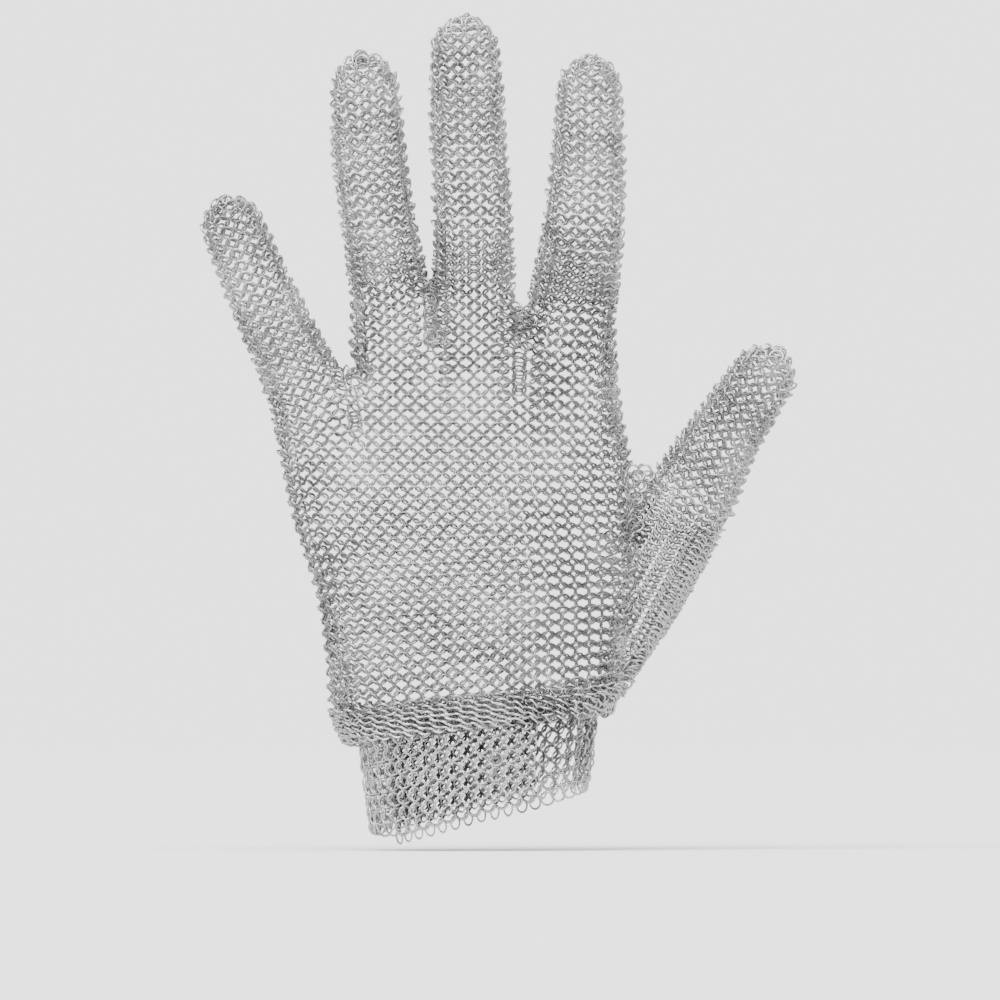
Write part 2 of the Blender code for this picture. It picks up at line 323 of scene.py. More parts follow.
class Tube:
    """A finger's stall: its line, its half widths and its half depths, read off its sections."""

    STATIONS = 26
    DOME_STATIONS = 14
    BASE_CLEAR = 2.4 * MM
    DOME = 9.0 * MM
    LEAST_HALF_WIDTH = 0.05 * MM
    SLOPE_REACH = 12.0 * MM
    SLOPE_KEPT = 0.6  # of the growth of its width, below its first section
    GIRTH_STEPS = 97
    BEYOND_TIP = 9.0

    def __init__(self, node):
        corners = triangles(node)
        points = corners.reshape(-1, 3)
        axis = np.linalg.svd(points - points.mean(0), full_matrices=False)[2][0]
        self.axis = unit(axis * (np.sign(axis[2]), 0, np.sign(axis[2])))
        self.across = unit(np.array([self.axis[2], 0.0, -self.axis[0]]))
        self.through = np.cross(self.axis, self.across)
        reach = points @ self.axis
        low, high = reach.min() + self.BASE_CLEAR, reach.max()
        straight = np.linspace(low, high - self.DOME, self.STATIONS, endpoint=False)
        rounded = high - self.DOME * (1 - np.sin(np.linspace(0, 0.5 * math.pi, self.DOME_STATIONS)))
        stations = np.append(straight, rounded)
        rows = [self.measured(corners, station) for station in stations[:-1]]
        tip = points[reach.argmax()]
        rows.append((tip @ self.across, tip @ self.through, 0.0, 0.0))
        self.row = np.array(rows)
        slant = np.arctan2(-np.gradient(self.size(), stations), 1.0)
        slant[-1] = 0.5 * math.pi
        slant = np.clip(slant, 0.0, 0.5 * math.pi)
        self.station = stations - TIP_INSET * np.sin(slant)
        narrowed = self.row[:, 2:] - INSET * np.cos(slant)[:, None]
        self.row[:, 2:] = np.maximum(narrowed, self.LEAST_HALF_WIDTH)
        self.low, self.high = self.station[0], self.station[-1]
        near = np.searchsorted(self.station, self.low + self.SLOPE_REACH)
        self.slope = (self.row[near] - self.row[0]) / (self.station[near] - self.low)
        self.slope[2:] *= self.SLOPE_KEPT
        self.run = running(np.stack([self.station, self.size()], -1))

    def measured(self, corners, station):
        """Centre along across and through, half width and half depth of the stall at a station."""
        ring = cut(corners, station, self.axis)
        u, v = ring @ self.across, ring @ self.through
        return (u.max() + u.min()) / 2, (v.max() + v.min()) / 2, np.ptp(u) / 2, np.ptp(v) / 2

    def size(self):
        return self.row[:, 2:].mean(1)

    def at_run(self, run):
        """The station that is a length along the skin from the base, or straight on below it."""
        return self.low + run if run < 0 else np.interp(run, self.run, self.station)

    def section(self, station):
        """The same four numbers for the tube on which the rings lie."""
        if station < self.low:
            return self.row[0] + self.slope * (station - self.low)
        return np.array([np.interp(station, self.station, column) for column in self.row.T])

    def loop(self, station, turns):
        """Places round a section; turn 0 is on the back of the hand and 0.25 towards +X."""
        u, v, width, depth = self.section(station)
        angle = np.asarray(turns)[:, None] * math.tau
        return (
            self.axis * station
            + self.across * (u + width * np.sin(angle))
            + self.through * (v - depth * np.cos(angle))
        )

    def even_turns(self, station, shares):
        """Turns whose places lie at given shares of the section's girth, and that girth."""
        turns = np.linspace(0, 1, self.GIRTH_STEPS)
        girth = running(self.loop(station, turns))
        return np.interp(np.asarray(shares) % 1.0, girth / girth[-1], turns), girth[-1]

    def depth_inside(self, points):
        """Below 1 inside the rings' tube, above 1 outside it."""
        found = []
        for point in points:
            station = point @ self.axis
            u, v, width, depth = self.section(min(station, self.high))
            inside = math.hypot((point @ self.across - u) / width, (point @ self.through - v) / depth)
            found.append(inside if station < self.high else self.BEYOND_TIP)
        return np.array(found)


NEARLY = 0.01  # places of columns that differ by less than this are the same
SHARPNESS = 3.0  # how fast a column's width falls from 1 to 0
LIVE_WIDTH = 0.45  # narrower columns carry no rings
FEWEST_COLUMNS = 4
LAST_STEP = 0.6  # of a step: no row lies nearer than this to a tube's tip
SETTLE_FLAT_Y = 0.5  # settled rings that look along y more than this move along y
SETTLE_START = 2 * MM


def closing_pairs(first, count):
    """Pairs of columns in the order in which they end, one at each side of a loop at a time."""
    half = count / 2
    place = {c: (first + c + half) % count - half for c in range(count)}
    right = [c for c in place if NEARLY < place[c] < half - NEARLY]
    left = [c for c in place if NEARLY - half < place[c] < -NEARLY]
    right.sort(key=place.get)
    left.sort(key=place.get, reverse=True)
    pairs = []
    while right:
        middle = len(right) // 2
        pairs.append((right.pop(middle), left.pop(middle)))
    return pairs


def column_widths(count, pairs, wanted):
    """Each column's width, which falls from 1 to 0 as the loop narrows."""
    widths = np.ones(count)
    for rank, pair in enumerate(pairs):
        width = np.clip(0.5 + (wanted - (count - 2 * rank - 1)) * SHARPNESS, 0.0, 1.0)
        widths[list(pair)] = width
    return widths


def tube_grid(tube, first, count, runs):
    """A closed grid of places up a tube, and where its columns are alive."""
    pairs = closing_pairs(first, count)
    grid = np.zeros((len(runs), count, 3))
    alive = np.zeros((len(runs), count), dtype=bool)
    front = [c for c in range(count) if abs(first + c) < NEARLY]
    before = [c for c in range(count) if first + c < -NEARLY]
    back_middle = [c for c in range(count) if abs(first + c - count / 2) < NEARLY]
    for row, run in enumerate(runs):
        station = tube.at_run(run)
        girth = tube.even_turns(station, [0.0])[1]
        widths = column_widths(count, pairs, min(girth / TUBE_PITCH, count))
        widths[front + back_middle] = 1.0
        if widths.sum() < FEWEST_COLUMNS:
            widths[list(pairs[-1])] = 1.0
        start = -widths[before].sum() - 0.5 * widths[front].sum()
        middles = start + np.cumsum(widths) - 0.5 * widths
        turns = tube.even_turns(station, middles / widths.sum())[0]
        grid[row] = tube.loop(station, turns)
        alive[row] = widths > LIVE_WIDTH
    return grid, alive


def settle(places, runs, tube, tree, most):
    """Moves a tube grid's first rows onto the frame's skin, where the hand widens round them."""
    for row, run in enumerate(runs):
        centre = tube.loop(tube.at_run(run), [0.0, 0.5]).mean(0)
        away = unit(places[row] - centre)
        flat = np.abs(away[:, 1]) > SETTLE_FLAT_Y
        away[flat] = np.sign(away[flat]) * Y_AXIS
        places[row] = onto_skin(tree, places[row], away, most + SETTLE_START, most)


# --- the fingers ---

# Each finger: its columns' first place from the middle of its back, how many go round it, and
# the hand's column that runs up into each, or None where one starts at the finger's root.
FINGERS = {
    "little_stall": (-2.5, [*range(-13, -7), None, *range(32, 38), -14]),
    "ring_stall": (-2.0, [*range(-7, -2), None, None, *range(27, 32), None, None]),
    "middle_stall": (-2.5, [*range(-2, 4), None, *range(21, 27), None]),
    "index_stall": (-2.5, [*range(4, 10), 11, 13, *range(15, 21), None, None]),
}
# The rows from the hand's top row up to each finger's first, and how much its root's rows crowd
RISE = {"little_stall": 14, "ring_stall": 29, "middle_stall": 29, "index_stall": 27}
GATHERED = {"little_stall": 0.12, "ring_stall": 0.32, "middle_stall": 0.34, "index_stall": 0.34}
GATHER_MIDDLE = 4.0 * MM
GATHER_REACH = 7.0 * MM
FINGER_STEP = 1.62 * MM
FINGER_LEAN = 9.0
FINGER_SETTLE = 2.5 * MM
LOWER_ROWS = 16  # rows of the side columns that may run on below a finger
BASE_LAP = 0.2 * MM  # of a stall's rings below its own first row
INSIDE_NEIGHBOUR = 0.97  # of a neighbour's half width


def finger_runs(tube, name):
    """Lengths up a finger at which its rows lie; they crowd a little near its root."""
    runs, run = [0.0], 0.0
    while run < tube.run[-1] - LAST_STEP * FINGER_STEP:
        crowd = GATHERED[name] * math.exp(-(((run - GATHER_MIDDLE) / GATHER_REACH) ** 2))
        run += FINGER_STEP * (1 - crowd)
        runs.append(run)
    return runs


def lay_finger(tree, tube, name, top_row):
    """A finger's rings, and the places and steps of its first row, which the hand's rows meet."""
    first, links = FINGERS[name]
    lower = [-ROW_STEP * step for step in range(LOWER_ROWS, 0, -1)]
    places, alive = tube_grid(tube, first, len(links), lower + finger_runs(tube, name))
    settle(places, lower, tube, tree, FINGER_SETTLE)

    def below_root(row, left, right):
        return row < LOWER_ROWS and links[left] is not None and links[right] is not None

    rings = weave(places, alive, top_row + RISE[name] - LOWER_ROWS, True, below_root)
    rings[4] += FINGER_LEAN * facing(rings)
    step = (places[LOWER_ROWS + 1] - places[LOWER_ROWS - 1]) / 2
    return rings, (places[LOWER_ROWS], step)


def lay_fingers(tree, top_row):
    """The rings of all fingers, without those in a neighbour or across the hand's hollow."""
    tubes = {name: Tube(name) for name in FINGERS}
    fingers, bases = {}, {}
    for name, tube in tubes.items():
        rings, bases[name] = lay_finger(tree, tube, name, top_row)
        own = (rings[0] @ tube.axis > tube.low - BASE_LAP) | in_wall(tree, rings)
        for other in FINGERS:
            if other != name:
                own &= tubes[other].depth_inside(rings[0]) > INSIDE_NEIGHBOUR
        fingers[name] = keep(rings, own)
    return fingers, bases


# --- the hand ---

class Hand:
    """The hand's own tube, from the hem to HAND_TOP, read off the two panels' level sections."""

    def __init__(self):
        corners = triangles(*HAND_NODES)
        self.hem_x = np.arange(-HEM_REACH, HEM_REACH + 1 * MM, HEM_SAMPLE)
        lowest = [cut(corners, x, X_AXIS)[:, 2].min() for x in self.hem_x]
        self.hem_z = np.array(lowest) + HEM_CLEAR
        whole = self.hem_z.max() + 1 * MM
        self.heights = np.arange(self.hem_z.min(), HAND_TOP + 2 * LEVEL_STEP, LEVEL_STEP)
        rows = []
        for height in self.heights:
            ring = cut(corners, max(height, whole), Z_AXIS)
            inner = ring[ring[:, 0] < PALM_SECTION_X]
            left = cut(corners, height, Z_AXIS)[:, 0].min()
            hidden = THUMB_SIDE[0][0] * MM < height < THUMB_SIDE[-1][0] * MM
            right = hand_side(height) if hidden else ring[:, 0].max()
            rows.append((left, right, inner[:, 1].min(), inner[:, 1].max()))
        self.rows = np.array(rows)

    def section(self, height):
        """Middle x and y, half width and half depth."""
        left, right, back, palm = (np.interp(height, self.heights, v) for v in self.rows.T)
        half_width, half_depth = (right - left) / 2 - INSET, (palm - back) / 2 - INSET
        return (left + right) / 2, (back + palm) / 2, half_width, half_depth

    def places(self, turns, heights):
        """Places and outward directions; turn 0 is over the back and 0.25 at the thumb's side."""
        x, y, width, depth = self.section(heights)
        sin, cos = np.sin(turns * math.tau), np.cos(turns * math.tau)
        u = np.sign(sin) * np.abs(sin) ** (2 / SQUARENESS)
        v = np.sign(cos) * np.abs(cos) ** (2 / SQUARENESS)
        places = np.stack([x + width * u, y - depth * v, np.broadcast_to(heights, u.shape)], -1)
        out_x = np.sign(u) * np.abs(u) ** (SQUARENESS - 1) / width
        out_y = -np.sign(v) * np.abs(v) ** (SQUARENESS - 1) / depth
        return places, unit(np.stack([out_x, out_y, np.zeros_like(u)], -1))

    def row_height(self, share, x):
        """A row's height: it follows the slanted hem at share 0 and is level at share 1."""
        hem = np.interp(x, self.hem_x, self.hem_z)
        return hem + (HAND_TOP - hem) * share

    def even_turns(self, level):
        """The turns of the hand's columns, evenly spaced round it from the little finger's edge."""
        turns = np.linspace(-0.5, 0.5, GIRTH_STEPS)
        girth = running(self.places(turns, level)[0])
        side = np.interp(-0.25, turns, girth)
        wanted = (side + np.arange(HAND_COLUMNS) * girth[-1] / HAND_COLUMNS) % girth[-1]
        return np.interp(wanted, girth, turns)


def hand_grid(hand, tree):
    """The hand's closed grid, with its outward directions."""
    tall = HAND_TOP - (hand.hem_z[0] + hand.hem_z[-1]) / 2
    rows = HEM_ROWS + round((tall - HEM_ROWS * HEM_STEP) / ROW_STEP)
    rows -= rows % 2
    rises = np.append(np.full(HEM_ROWS, HEM_STEP), np.full(rows - HEM_ROWS, ROW_STEP))
    shares = np.append(0.0, np.cumsum(rises)) / rises.sum()
    grid = np.zeros((rows + 1, HAND_COLUMNS, 3))
    outwards = np.zeros_like(grid)
    for row, share in enumerate(shares):
        level = hand.row_height(share, 0.0)
        turns = hand.even_turns(level)
        x = hand.places(turns, level)[0][:, 0]
        places, out = hand.places(turns, hand.row_height(share, x))
        flat = np.abs(out[:, 1]) > FLAT_Y
        out[flat] = np.sign(out[flat]) * Y_AXIS
        places = onto_skin(tree, places, out, SKIN_REACH, SKIN_MOST)
        bulge = flat & (out[:, 1] > 0) & (places[:, 0] > BALL_OF_THUMB)
        places[bulge] = onto_skin(tree, places[bulge], out[bulge], BALL_REACH, BALL_MOST)
        grid[row], outwards[row] = places, out
    return grid, outwards


def hem_share(places, hand):
    """1 for places in the hem, where the mail is drawn in, and 0 for those above it."""
    hem = hand.row_height(0.0, places[:, 0])
    return np.clip(HEM_FADE - (places[:, 2] - hem) / (HEM_ROWS * HEM_STEP), 0, 1)


def gathered(rings, hand):
    """The hand's rings with those near the hem turned aslant and drawn together."""
    places, along, up, sign, lean = rings
    share = hem_share(places, hand)[:, None]
    untidy = np.interp(places[:, 0:1], HEM_TIDY, HEM_UNTIDINESS)
    slant = HEM_SLANT * share + rng.normal(0, 1, share.shape) * share * untidy
    length = np.linalg.norm(along, axis=1, keepdims=True)
    turned = along * np.cos(slant) + unit(up) * length * np.sin(slant)
    return [places, turned * (1 + HEM_SPREAD * share), up * (1 - HEM_SQUEEZE * share), sign, lean]


def hand_lean(rings):
    x, _, z = rings[0].T / MM
    faded = np.interp(x, *np.transpose(HAND_LEAN)) * np.interp(z, *np.transpose(LEAN_FADE))
    return faded * facing(rings)


SIDE_ENDS = {10: 0.35, 12: 0.7, 14: 0.35}  # columns at the side that end below the index finger
ROOT_REACH = 5 * MM
ROOT_MOST = 4 * MM
ROOT_EASE = 6  # the last sixth of a column's rows eases off the skin


def hermite(start, end, start_run, end_run, share):
    a = 2 * share ** 3 - 3 * share ** 2 + 1
    b = share ** 3 - 2 * share ** 2 + share
    c = -2 * share ** 3 + 3 * share ** 2
    d = share ** 3 - share ** 2
    return a * start + b * start_run + c * end + d * end_run


def root_ends(bases):
    """Where each of the hand's columns ends: place, step, rows up to there, share that is used."""
    ends = {}
    for name, (_, links) in FINGERS.items():
        for place, step, column in zip(*bases[name], links):
            if column is not None:
                ends[column] = (place, step, RISE[name], 1.0)
    for column, lasts in SIDE_ENDS.items():
        left, right = ends[column - 1], ends[column + 1]
        ends[column] = ((left[0] + right[0]) / 2, (left[1] + right[1]) / 2, left[2], lasts)
    return ends


def root_grid(top, top_step, outwards, bases, tree):
    """The closed grid from the hand's top row up to each finger's first row."""
    highest = max(RISE.values())
    grid = np.zeros((highest + 1, HAND_COLUMNS, 3))
    alive = np.zeros((highest + 1, HAND_COLUMNS), dtype=bool)
    for column, (end, end_step, rise, lasts) in root_ends(bases).items():
        slot = column - LEFTMOST
        count = rise + 1
        share = (np.arange(count) / rise)[:, None]
        path = hermite(top[slot], end, top_step[slot] * rise, end_step * rise, share)
        out = np.broadcast_to(outwards[slot], path.shape)
        snapped = onto_skin(tree, path, out, ROOT_REACH, ROOT_MOST)
        ease = np.clip((1 - share) * ROOT_EASE, 0, 1)
        grid[:count, slot] = path + (snapped - path) * ease
        grid[count:, slot] = path[-1]
        alive[:count, slot] = share[:, 0] <= lasts
    return grid, alive


def lay_hand(tree, hand, grid, outwards, bases):
    """The hand's rings, up to its top row and on to the fingers."""
    whole = weave(grid, np.ones(grid.shape[:2], dtype=bool), 0, True)
    rings = gathered(keep(whole, in_wall(tree, whole)), hand)
    roots, alive = root_grid(grid[-1], grid[-1] - grid[-2], outwards[-1], bases, tree)
    root_rings = weave(roots, alive, len(grid) - 1, True)
    for part in (rings, root_rings):
        part[4] += hand_lean(part)
    return join(rings, clear_of(root_rings, rings, TOO_CLOSE))


# --- the thumb ---

THUMB_COLUMNS = 16
THUMB_FIRST = -2.0  # its first column's place from the middle of its back
THUMB_STEP = 1.47 * MM
THUMB_ROOT_STEP = 0.85 * MM
THUMB_ROOT_RUN = 66.0 * MM
CROWDING_RUN = 12 * MM  # the root's rows draw together over this length
THUMB_SETTLE = 6 * MM
THUMB_LEAN = 9.0
THUMB_ROOT_LEAN = 16.0
LEAN_RUN = 10 * MM
ROOT_PALER = 0.6
# painted half shading at the thumb's root: inward halves of its rings painted darker, outward halves
# brighter
ROOT_HALF_SHADING = 1.8
ROOT_TOP = 4 * MM  # the root's tones begin this far up the stall
ROOT_BLEND = 14 * MM
CREASE_LAP = 0.4 * MM  # of the thumb's rings over the hand's side, on the back
PALM_LAP = 4.0 * MM
ROOT_SEAM = 1.0 * MM  # rings farther than this below the stall may be left out
ROOT_CLOSE = 1.2 * MM  # if they are nearer than this to the hand's
WEB_RUNS = np.linspace(-20 * MM, 12 * MM, 33)
WEB_BOTTOM = 84.0 * MM
WEB_TOP = 94.5 * MM
WEB_STEP = 1.5 * MM
WEB_PITCH = 3.4 * MM
WEB_Y = 5.0 * MM
WEB_HALF_DEPTH = 2.2 * MM


def web_rings(thumb):
    """Two close layers of rings that fill the fork between the hand's side and the thumb."""
    line = np.array([thumb.loop(thumb.at_run(run), [0.75])[0] for run in WEB_RUNS])
    up = np.array([0, 0, WEB_STEP])
    rings = []
    for row, height in enumerate(np.arange(WEB_BOTTOM, WEB_TOP, WEB_STEP)):
        left, right = hand_side(height), np.interp(height, line[:, 2], line[:, 0])
        count = max(round((right - left) / WEB_PITCH), 1)
        step = (right - left) / count
        sign = 1 - 2 * (row % 2)
        for x in left + step * (np.arange(count) + 0.5 * (row % 2)):
            for face in (-1, 1):
                place = np.array([x, WEB_Y + face * WEB_HALF_DEPTH, height])
                rings.append((place, np.array([-face * WEB_PITCH, 0, 0]), up, sign, 0.0))
    return as_arrays(rings)


def thumb_runs(tube):
    """Lengths at which the thumb's rows lie: below its base, deep in the root, and up to the tip."""
    lower, run = [], 0.0
    while run > -THUMB_ROOT_RUN:
        share = min(-run / CROWDING_RUN, 1.0)
        run -= THUMB_STEP + (THUMB_ROOT_STEP - THUMB_STEP) * share
        lower.append(run)
    upper, run = [0.0], 0.0
    while run < tube.run[-1] - LAST_STEP * THUMB_STEP:
        run += THUMB_STEP
        upper.append(run)
    return lower[::-1], upper


def lay_thumb(tree, thumb, body):
    """The rings of the thumb's stall, of its root beside the hand's body, and of the web."""
    lower, upper = thumb_runs(thumb)
    places, alive = tube_grid(thumb, THUMB_FIRST, THUMB_COLUMNS, lower + upper)
    settle(places, lower, thumb, tree, THUMB_SETTLE)
    rings = weave(places, alive, 0, True, filled=False)
    below = thumb.low - rings[0] @ thumb.axis
    lap = np.where(rings[0][:, 1] > 0, PALM_LAP, CREASE_LAP)
    in_root = in_wall(tree, rings) & (rings[0][:, 0] > hand_side(rings[0][:, 2]) - lap)
    root_lean = (THUMB_ROOT_LEAN - THUMB_LEAN) * np.clip(below / LEAN_RUN, 0, 1)
    rings[4] = (THUMB_LEAN + root_lean) * facing(rings)
    root = clear_of(keep(rings, in_root & (below > ROOT_SEAM)), body, ROOT_CLOSE)
    stall = keep(rings, (below < BASE_LAP) | in_root & (below <= ROOT_SEAM))
    web = clear_of(web_rings(thumb), join(body, root, stall), ROOT_CLOSE)
    return join(stall, root, web)


def thumb_tones(thumb, places):
    """How much paler the thumb's rings are towards its root, and how much painted half shading they
    carry there.
    """
    share = np.clip((thumb.low + ROOT_TOP - places @ thumb.axis) / ROOT_BLEND, 0, 1)
    return FINGER_PALER + share * (ROOT_PALER - FINGER_PALER), share * ROOT_HALF_SHADING


# --- bare places ---

BARE = 2.3 * MM  # skin farther than this from every ring's middle is bare
APART = 2.5 * MM  # between two rings that close a bare place
SIDE_CLOSED = 0.6  # skin whose normal has less y than this needs to be barer
SIDE_BARE = 3.4 * MM
CLOSING_STEP = 2.0 * MM
SKIN_LIFT = 0.3 * MM
FAR_AWAY = 0.4
ANY_DIRECTION = (0.31, 0.22, 0.93)
ESCAPES = ((0, 0), (1, 0), (-1, 0), (0, 1), (0, -1))


def outside(tree, point, normal):
    """True on the frame's outer skin: from there, at least two of five rays get away."""
    side = unit(np.cross(normal, ANY_DIRECTION))
    other = np.cross(normal, side)
    start = Vector(point + normal * SKIN_LIFT)
    away = 0
    for a, b in ESCAPES:
        ray = Vector(unit(normal + side * a + other * b))
        away += tree.ray_cast(start, ray, FAR_AWAY)[0] is None
    return away > 1


def scattered(nodes):
    """Random points on some nodes, about one for each square millimetre, and their normals."""
    corners = triangles(*nodes)
    first, second = corners[:, 1] - corners[:, 0], corners[:, 2] - corners[:, 0]
    square = np.cross(first, second)
    counts = np.ceil(np.linalg.norm(square, axis=1) / 2 / MM ** 2).astype(int)
    index = np.repeat(np.arange(len(corners)), counts)
    u, v = rng.random((2, len(index), 1))
    u, v = np.where(u + v > 1, 1 - u, u), np.where(u + v > 1, 1 - v, v)
    return corners[index, 0] + first[index] * u + second[index] * v, unit(square)[index]


def closing_rings(tree, nodes, rings):
    """Rings for the bare places that the lattices leave on some nodes, the barest first."""
    points, normals = scattered(nodes)
    places = points - normals * INSET
    known = place_tree(rings[0])
    bare = []
    for number, place in enumerate(places):
        nearest, distance = known.find(Vector(place))[1:]
        if distance > (SIDE_BARE if abs(normals[number, 1]) < SIDE_CLOSED else BARE):
            bare.append((distance, number, nearest))
    made = []
    for _, number, nearest in sorted(bare, reverse=True):
        place, normal = places[number], normals[number]
        crowded = any(np.linalg.norm(taken[0] - place) < APART for taken in made)
        if crowded or not outside(tree, points[number], normal):
            continue
        along = unit(rings[1][nearest] - normal * (rings[1][nearest] @ normal))
        up = np.cross(normal, along)
        sign = -1 if len(made) % 2 else 1
        made.append((place, along * PITCH, up * CLOSING_STEP, sign, 0.0))
    return as_arrays(made)


def close_bare_places(tree, lattices):
    """Adds closing rings to lattices, which are rings by the names of their nodes."""
    everything = join(*lattices.values())
    for nodes, rings in lattices.items():
        closing = closing_rings(tree, nodes, everything)
        if closing:
            lattices[nodes] = join(rings, closing)
            everything = join(everything, closing)


# --- the cuff ---

STRAP_FROM = 31.6  # degrees round the wrist, from the little finger's edge
STRAP_TO = 478.4
STRAP_FLOOR = (  # x and height in millimetres of its lower edge on its first turn
    (-27.0, -8.6),
    (-22.5, -8.0),
    (0.4, -2.3),
    (15.0, 1.0),
    (28.5, 5.2),
)
STRAP_WIDTH = 29.0 * MM
STRAP_SPREAD = 3.4 * MM  # how far one turn lies outside the one before it
WRIST_X = 0.4 * MM
WRIST_HALF_WIDTH = 26.1 * MM
WRIST_HALF_DEPTH = 19.2 * MM
WIDTH_FLARE = 0.13  # growth of the half width for each unit of height
DEPTH_FLARE = 0.06
STRAP_SAMPLES = 4000
STRAP_COLUMNS = 7
STRAP_PITCH = 4.1 * MM
STRAP_MARGIN = (STRAP_WIDTH - STRAP_PITCH * (STRAP_COLUMNS - 1)) / 2
STRAP_STEP = 1.93 * MM
STRAP_CLIMB = (0.0, 0.5, 0.5, 1.0)  # pitches: inner layer's end, back's start and end, flap's start
STRAP_FLAT = 0.86  # of the half width: there the layers' rows stand one behind another
STRAP_LEAN = 20.0
STRAP_LEAN_RANGE = (-32.0, 32.0)
FLAP_SPREAD = 0.6  # of the spread: rings farther out than this are the flap's
FLAP_FLOOR = 0.7  # of a pitch: rings lower than this have no layer behind them
# Painted light on the flap and on the single rings at the strap's foot, painted shade on the layer
# that the flap covers, and painted half shading on the strap's rings
FLAP_PAINTED_LIGHT = 0.7
COVERED_PAINTED_SHADE = -0.9
DOUBLE_HALF_SHADING = 2.0
SINGLE_HALF_SHADING = 0.4
STRAP_ROW_PAINTED_LIGHT = 2 * ROW_PAINTED_LIGHT  # taken off again, so that the painted light falls on the other rows


def wrist(height):
    """The wrist's half width and half depth."""
    return WRIST_HALF_WIDTH + WIDTH_FLARE * height, WRIST_HALF_DEPTH + DEPTH_FLARE * height


def strap_place(turn, height):
    angle = np.radians(turn)
    spread = STRAP_SPREAD * (turn - STRAP_FROM) / 360
    width, depth = wrist(height)
    x = WRIST_X - (width + spread) * np.cos(angle)
    return np.stack([x, -(depth + spread) * np.sin(angle), height], -1)


FLAP_EDGE = strap_place(STRAP_TO, STRAP_WIDTH / 2)[0]


def strap_floor(x):
    """The height of the strap's lower edge on its first turn."""
    floor_x, height = np.transpose(STRAP_FLOOR) * MM
    return np.interp(x, floor_x, height)


def between(turns, run, start, end, odd):
    """Turns evenly spaced between two rows, in an odd or an even number of steps."""
    first, last = np.interp([start, end], turns, run)
    steps = 2 * round(((last - first) / STRAP_STEP - odd) / 2) + odd
    return np.interp(np.linspace(first, last, steps + 1)[1:-1], run, turns)


def strap_turns():
    """The turns of the strap's rows, and where its first, second and third layers begin and end."""
    turns = np.linspace(STRAP_FROM, STRAP_TO, STRAP_SAMPLES)
    line = strap_place(turns, np.full(turns.shape, STRAP_WIDTH / 2))
    run = running(line)
    limit = math.degrees(math.acos(STRAP_FLAT))
    flat = (turns > limit) & (turns < 180 - limit)
    count = round(np.ptp(run[flat]) / STRAP_STEP)
    aligned = np.interp(np.linspace(run[flat][0], run[flat][-1], count + 1), run[flat], line[flat, 0])
    layers = []
    for start, end in ((STRAP_FROM, 180), (180, 360), (360, STRAP_TO)):
        part = (turns >= start) & (turns <= end)
        x, at = line[part, 0], turns[part]
        forward = 1 if x[0] < x[-1] else -1
        wanted = aligned[(aligned >= x.min()) & (aligned <= x.max())]
        layers.append(np.interp(wanted[::forward], x[::forward], at[::forward]))
    inner, back, flap = layers
    right = between(turns, run, inner[-1], back[0], 1)
    left = between(turns, run, back[-1], flap[0], 0)
    rows = np.concatenate([inner, right, back, left, flap])
    return rows, (inner[-1], back[0], back[-1], flap[0])


def lay_strap():
    """The strap's rings: its rows run up the wrist and follow one another round it."""
    rows, ends = strap_turns()
    climb = np.interp(rows, ends, STRAP_CLIMB) * STRAP_PITCH
    grid = np.zeros((len(rows), STRAP_COLUMNS, 3))
    for row, turn in enumerate(rows):
        bottom = strap_floor(strap_place(turn, STRAP_WIDTH / 2)[0]) + climb[row]
        heights = bottom + STRAP_MARGIN + STRAP_PITCH * np.arange(STRAP_COLUMNS)
        grid[row] = strap_place(np.full(STRAP_COLUMNS, turn), heights)
    grid = grid[:, ::-1]
    rings = weave(grid, np.ones(grid.shape[:2], dtype=bool), 0, False)
    outward = unit(np.cross(rings[1], rings[2]))
    sideways = np.degrees(np.arctan2(outward[:, 0], np.abs(outward[:, 1])))
    leftward = np.where(rings[0][:, 0] < FLAP_EDGE, STRAP_LEAN, -STRAP_LEAN)
    lean = np.clip(leftward + sideways, *STRAP_LEAN_RANGE) * facing(rings)
    rings[4] -= np.sign(outward[:, 1]) * lean
    return rings


def strap_tones(rings):
    """How much paler the strap's flap is painted than the layer that it covers (painted light and
    painted shade), and the painted half shading of both.
    """
    x, y, z = rings[0].T
    width, depth = wrist(z)
    between_layers = 1 + FLAP_SPREAD * STRAP_SPREAD / WRIST_HALF_WIDTH
    outer = np.hypot((x - WRIST_X) / width, y / depth) > between_layers
    above_floor = z > strap_floor(x) + STRAP_MARGIN + FLAP_FLOOR * STRAP_PITCH
    double = above_floor & (y < 0) & (x < FLAP_EDGE)
    # painted light on the flap and on single rings, painted shade on the covered layer
    single_paler = np.where(above_floor, 0.0, FLAP_PAINTED_LIGHT)
    paler = np.where(double, np.where(outer, FLAP_PAINTED_LIGHT, COVERED_PAINTED_SHADE), single_paler)
    return paler - STRAP_ROW_PAINTED_LIGHT * rings[3], np.where(double, DOUBLE_HALF_SHADING, SINGLE_HALF_SHADING)


def added(name, data):
    """A new object in the scene."""
    obj = bpy.data.objects.new(name, data)
    bpy.context.scene.collection.objects.link(obj)
    return obj


def finished(piece, finish, node):
    """Gives a piece its finish, puts it under the root body, and hides the node that it stands for."""
    piece.data.materials.append(finish)
    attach(piece, "root")
    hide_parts(node)


HOOK_WIRE = 1.0 * MM
HOOK_SIDES = 10
HOOK_BEND_STEPS = 12
HOOK_START = 1.5 * MM  # its end lies this far left of its middle
HOOK_LIP = 0.8 * MM


def extrude(length):
    bpy.ops.mesh.extrude_region_move(TRANSFORM_OT_translate={"value": (length, 0, 0)})


